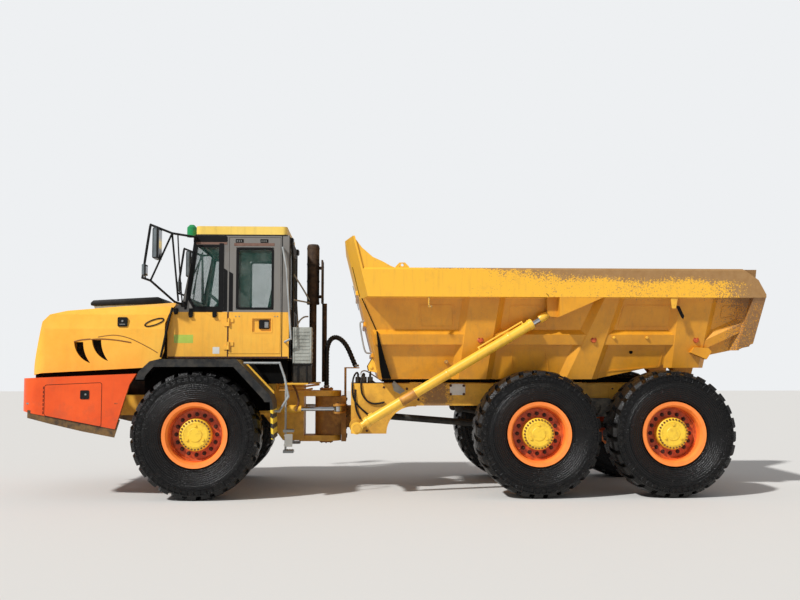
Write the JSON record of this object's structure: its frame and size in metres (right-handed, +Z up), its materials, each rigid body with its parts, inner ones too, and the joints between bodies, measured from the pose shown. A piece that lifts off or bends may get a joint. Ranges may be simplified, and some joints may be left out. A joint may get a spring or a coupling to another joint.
{
  "type": "articulated dump truck",
  "caption": "Articulated six-wheel dump truck: a tractor unit with hood and cab, a pivoting hitch, and a rear frame that carries a tipping load bin.",
  "frame": {"origin": "middle of the truck's box at ground level", "axes": "+X towards the tail, -X the front, +Y the truck's right side, +Z up"},
  "size_m": [9.215, 2.98, 3.46],
  "materials": {
    "bin_yellow": "worn yellow machine enamel over steel plate",
    "cab_yellow": "yellow enamel",
    "hood_yellow": "yellow gel coat on glass fibre",
    "skirt_orange": "orange-red enamel",
    "rim_orange": "orange enamel on steel",
    "frame_grey": "grey enamel",
    "dark_paint": "satin black enamel",
    "axle_grey": "painted casting",
    "dark_plastic": "moulded black plastic",
    "tyre": "black rubber",
    "hose_rubber": "corrugated rubber",
    "glass": "lightly green tinted",
    "lamp_glass": "clear lens",
    "beacon_green": "green lens",
    "rod_chrome": "polished",
    "rust_steel": "heat-rusted steel",
    "light_grey": "light grey enamel",
    "seat_fabric": "woven cloth over foam",
    "rail_steel": "grey enamel tube",
    "engine_grey": "painted casting"
  },
  "bodies": {
    "front_unit": {"front_frame": "bin_yellow", "rear_deck": "bin_yellow", "tow_lugs": "bin_yellow", "engine_block": "engine_grey", "front_skirt": "skirt_orange", "headlamps": "lamp_glass", "fenders": "dark_plastic", "cab_tub": "cab_yellow", "cab_frame": "frame_grey", "cab_roof": "cab_yellow", "cab_glass": "glass", "driver_seat": "seat_fabric", "dash_console": "dark_plastic", "mirrors": "dark_paint", "beacon": "beacon_green", "steps_rails": "rail_steel", "exhaust_stack": "rust_steel", "louvred_box": "light_grey", "battery_box": "dark_paint", "front_axle": "axle_grey"},
    "hood": {"hood": "hood_yellow", "hood_top": "dark_plastic", "hood_grille": "dark_plastic"},
    "cab_door": {"cab_door": "cab_yellow", "door_glass": "glass"},
    "hitch": {"hitch": "bin_yellow", "hitch_hose": "hose_rubber"},
    "steer_barrel_left": {"steer_barrel_left": "bin_yellow"},
    "steer_barrel_right": {"steer_barrel_right": "bin_yellow"},
    "steer_rod_left": {"steer_rod_left": "rod_chrome"},
    "steer_rod_right": {"steer_rod_right": "rod_chrome"},
    "rear_unit": {"rear_frame": "bin_yellow", "walking_beams": "dark_paint", "rear_axles": "axle_grey", "driveshafts": "axle_grey"},
    "bin": {"bin_floor": "bin_yellow", "bin_side_left": "bin_yellow", "bin_side_right": "bin_yellow", "bin_ribs_left": "bin_yellow", "bin_ribs_right": "bin_yellow", "lift_eyes": "bin_yellow", "bin_headboard": "bin_yellow"},
    "hoist_barrels": {"hoist_barrels": "bin_yellow"},
    "hoist_rods": {"hoist_rods": "rod_chrome"},
    "wheel_front_left": {"tyre_front_left": "tyre", "rim_front_left": "rim_orange"},
    "wheel_front_right": {"tyre_front_right": "tyre", "rim_front_right": "rim_orange"},
    "wheel_mid_left": {"tyre_mid_left": "tyre", "rim_mid_left": "rim_orange"},
    "wheel_mid_right": {"tyre_mid_right": "tyre", "rim_mid_right": "rim_orange"},
    "wheel_rear_left": {"tyre_rear_left": "tyre", "rim_rear_left": "rim_orange"},
    "wheel_rear_right": {"tyre_rear_right": "tyre", "rim_rear_right": "rim_orange"}
  },
  "joints": [
    {"name": "articulation", "type": "hinge", "parent": "front_unit", "child": "hitch", "pos_m": [-0.9275, 0, 0.955], "axis": [0, 0, 1], "range_deg": [-42, 42]},
    {"name": "oscillation", "type": "hinge", "parent": "hitch", "child": "rear_unit", "pos_m": [-0.5935, 0, 0.94], "axis": [-1, 0, 0], "range_deg": [-20, 20]},
    {"name": "bin_tip", "type": "hinge", "parent": "rear_unit", "child": "bin", "pos_m": [3.7825, 0, 1.5], "axis": [0, 1, 0], "range_deg": [0, 70]},
    {"name": "hoist_swing", "type": "hinge", "parent": "rear_unit", "child": "hoist_barrels", "pos_m": [-0.5195, 0, 0.846], "axis": [0, -1, 0], "range_deg": [0, 0.746]},
    {"name": "hoist_stroke", "type": "slide", "parent": "hoist_barrels", "child": "hoist_rods", "axis": [0.8611, 0, 0.5085], "range_m": [0, 2.3217]},
    {"name": "steer_swing_left", "type": "hinge", "parent": "front_unit", "child": "steer_barrel_left", "pos_m": [-2.1775, -0.54, 1.06], "axis": [0, 0, 1], "range_deg": [-3.34, 3.34]},
    {"name": "steer_stroke_left", "type": "slide", "parent": "steer_barrel_left", "child": "steer_rod_left", "axis": [1, 0, 0], "range_m": [-0.3717, 0.3717]},
    {"name": "steer_swing_right", "type": "hinge", "parent": "front_unit", "child": "steer_barrel_right", "pos_m": [-2.1775, 0.54, 1.06], "axis": [0, 0, 1], "range_deg": [-3.34, 3.34]},
    {"name": "steer_stroke_right", "type": "slide", "parent": "steer_barrel_right", "child": "steer_rod_right", "axis": [1, 0, 0], "range_m": [-0.3717, 0.3717]},
    {"name": "door_swing", "type": "hinge", "parent": "front_unit", "child": "cab_door", "pos_m": [-2.1475, -0.856, 2.1], "axis": [0, 0, -1], "range_deg": [0, 85]},
    {"name": "hood_tilt", "type": "hinge", "parent": "front_unit", "child": "hood", "pos_m": [-4.5725, 0, 1.502], "axis": [0, -1, 0], "range_deg": [0, 65]},
    {"name": "wheel_front_left_spin", "type": "hinge", "parent": "front_unit", "child": "wheel_front_left", "pos_m": [-2.4675, -1.17, 0.78], "axis": [0, 1, 0], "continuous": true},
    {"name": "wheel_front_right_spin", "type": "hinge", "parent": "front_unit", "child": "wheel_front_right", "pos_m": [-2.4675, 1.17, 0.78], "axis": [0, 1, 0], "continuous": true},
    {"name": "wheel_mid_left_spin", "type": "hinge", "parent": "rear_unit", "child": "wheel_mid_left", "pos_m": [1.7125, -1.17, 0.78], "axis": [0, 1, 0], "continuous": true},
    {"name": "wheel_mid_right_spin", "type": "hinge", "parent": "rear_unit", "child": "wheel_mid_right", "pos_m": [1.7125, 1.17, 0.78], "axis": [0, 1, 0], "continuous": true},
    {"name": "wheel_rear_left_spin", "type": "hinge", "parent": "rear_unit", "child": "wheel_rear_left", "pos_m": [3.3825, -1.17, 0.78], "axis": [0, 1, 0], "continuous": true},
    {"name": "wheel_rear_right_spin", "type": "hinge", "parent": "rear_unit", "child": "wheel_rear_right", "pos_m": [3.3825, 1.17, 0.78], "axis": [0, 1, 0], "continuous": true}
  ],
  "couplings": [
    {"joint": "hoist_swing", "follows": "bin_tip", "ratio": 0.01038},
    {"joint": "hoist_stroke", "follows": "bin_tip", "m_per_rad": 1.8995},
    {"joint": "steer_swing_left", "follows": "articulation", "ratio": 0.0748},
    {"joint": "steer_stroke_left", "follows": "articulation", "m_per_rad": 0.5044},
    {"joint": "steer_swing_right", "follows": "articulation", "ratio": 0.0748},
    {"joint": "steer_stroke_right", "follows": "articulation", "m_per_rad": -0.5044}
  ]
}
